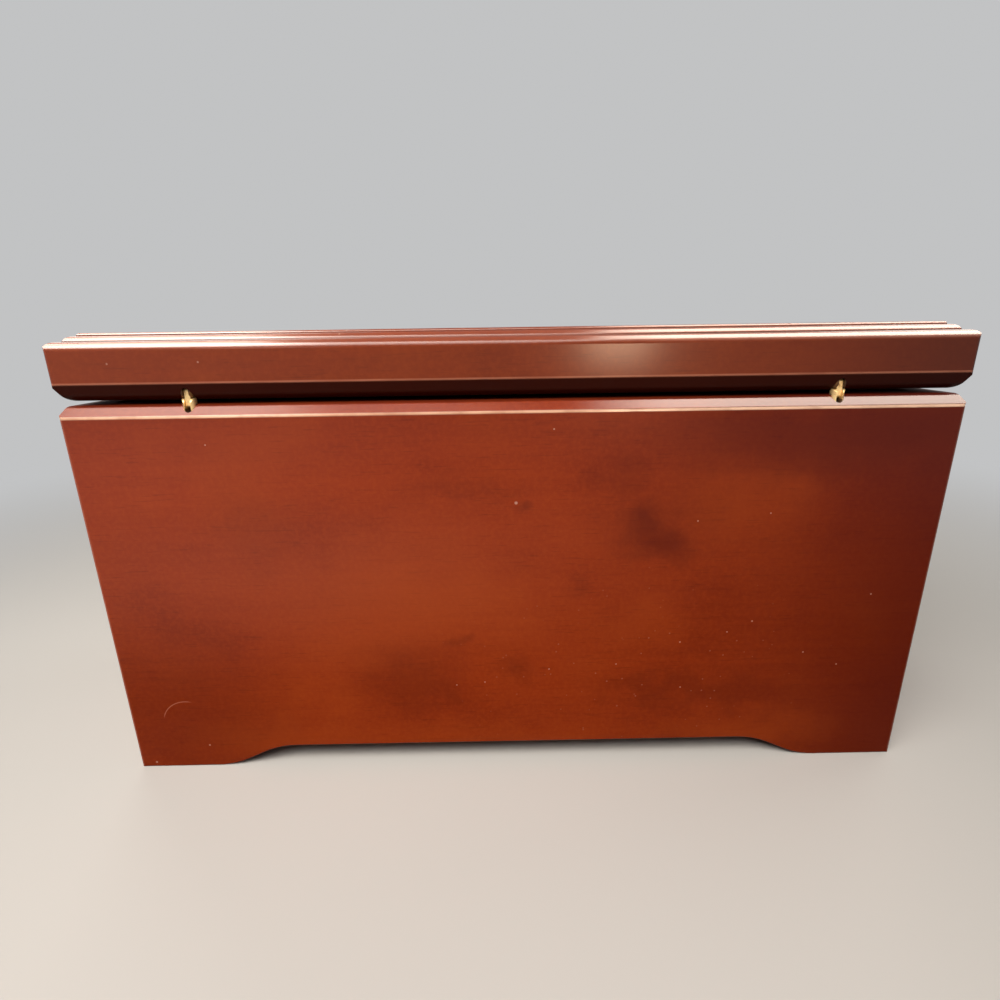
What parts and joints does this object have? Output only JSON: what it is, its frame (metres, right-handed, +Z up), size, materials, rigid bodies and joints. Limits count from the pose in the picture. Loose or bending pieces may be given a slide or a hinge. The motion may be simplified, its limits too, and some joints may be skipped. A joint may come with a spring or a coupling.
{
  "type": "wooden chest",
  "caption": "Low rectangular lacquered wooden chest with bracket feet and a moulded lift-up lid on small brass barrel hinges at the rear.",
  "frame": {"origin": "centre of the footprint, on the surface that the feet stand on", "axes": "+Z up, X along the hinge line, -Y out of the rear (hinged) face, +Y out of the front"},
  "size_m": [0.345, 0.124, 0.1906],
  "materials": {
    "lacquered_wood": "gloss",
    "bare_wood": "matte",
    "lining_cloth": "matte",
    "hinge_brass": "polished",
    "pin_steel": "satin",
    "buffer_rubber": "matte"
  },
  "bodies": {
    "chest": {"rear_wall": "lacquered_wood", "front_wall": "lacquered_wood", "left_wall": "lacquered_wood", "right_wall": "lacquered_wood", "floor_board": "bare_wood", "rear_left_glue_block": "bare_wood", "rear_right_glue_block": "bare_wood", "front_left_glue_block": "bare_wood", "front_right_glue_block": "bare_wood", "rear_lining_card": "lining_cloth", "front_lining_card": "lining_cloth", "left_lining_card": "lining_cloth", "right_lining_card": "lining_cloth", "floor_pad": "lining_cloth", "left_buffer": "buffer_rubber", "right_buffer": "buffer_rubber", "left_lower_barrel": "hinge_brass", "right_lower_barrel": "hinge_brass", "left_lower_pin": "pin_steel", "right_lower_pin": "pin_steel"},
    "hinge_links": {"left_hinge_link": "hinge_brass", "right_hinge_link": "hinge_brass"},
    "lid": {"lid_rear_rail": "lacquered_wood", "lid_front_rail": "lacquered_wood", "lid_left_rail": "lacquered_wood", "lid_right_rail": "lacquered_wood", "lid_top_board": "lacquered_wood", "lid_pad": "lining_cloth", "left_upper_barrel": "hinge_brass", "right_upper_barrel": "hinge_brass", "left_upper_pin": "pin_steel", "right_upper_pin": "pin_steel"}
  },
  "joints": [
    {"name": "link_swing", "type": "hinge", "parent": "chest", "child": "hinge_links", "pos_m": [0, -0.0586, 0.1641], "axis": [1, 0, 0], "range_deg": [0, 55]},
    {"name": "lid_swing", "type": "hinge", "parent": "hinge_links", "child": "lid", "pos_m": [0, -0.0586, 0.1691], "axis": [1, 0, 0], "range_deg": [0, 55]}
  ],
  "couplings": [
    {"joint": "link_swing", "follows": "lid_swing", "ratio": 1}
  ]
}
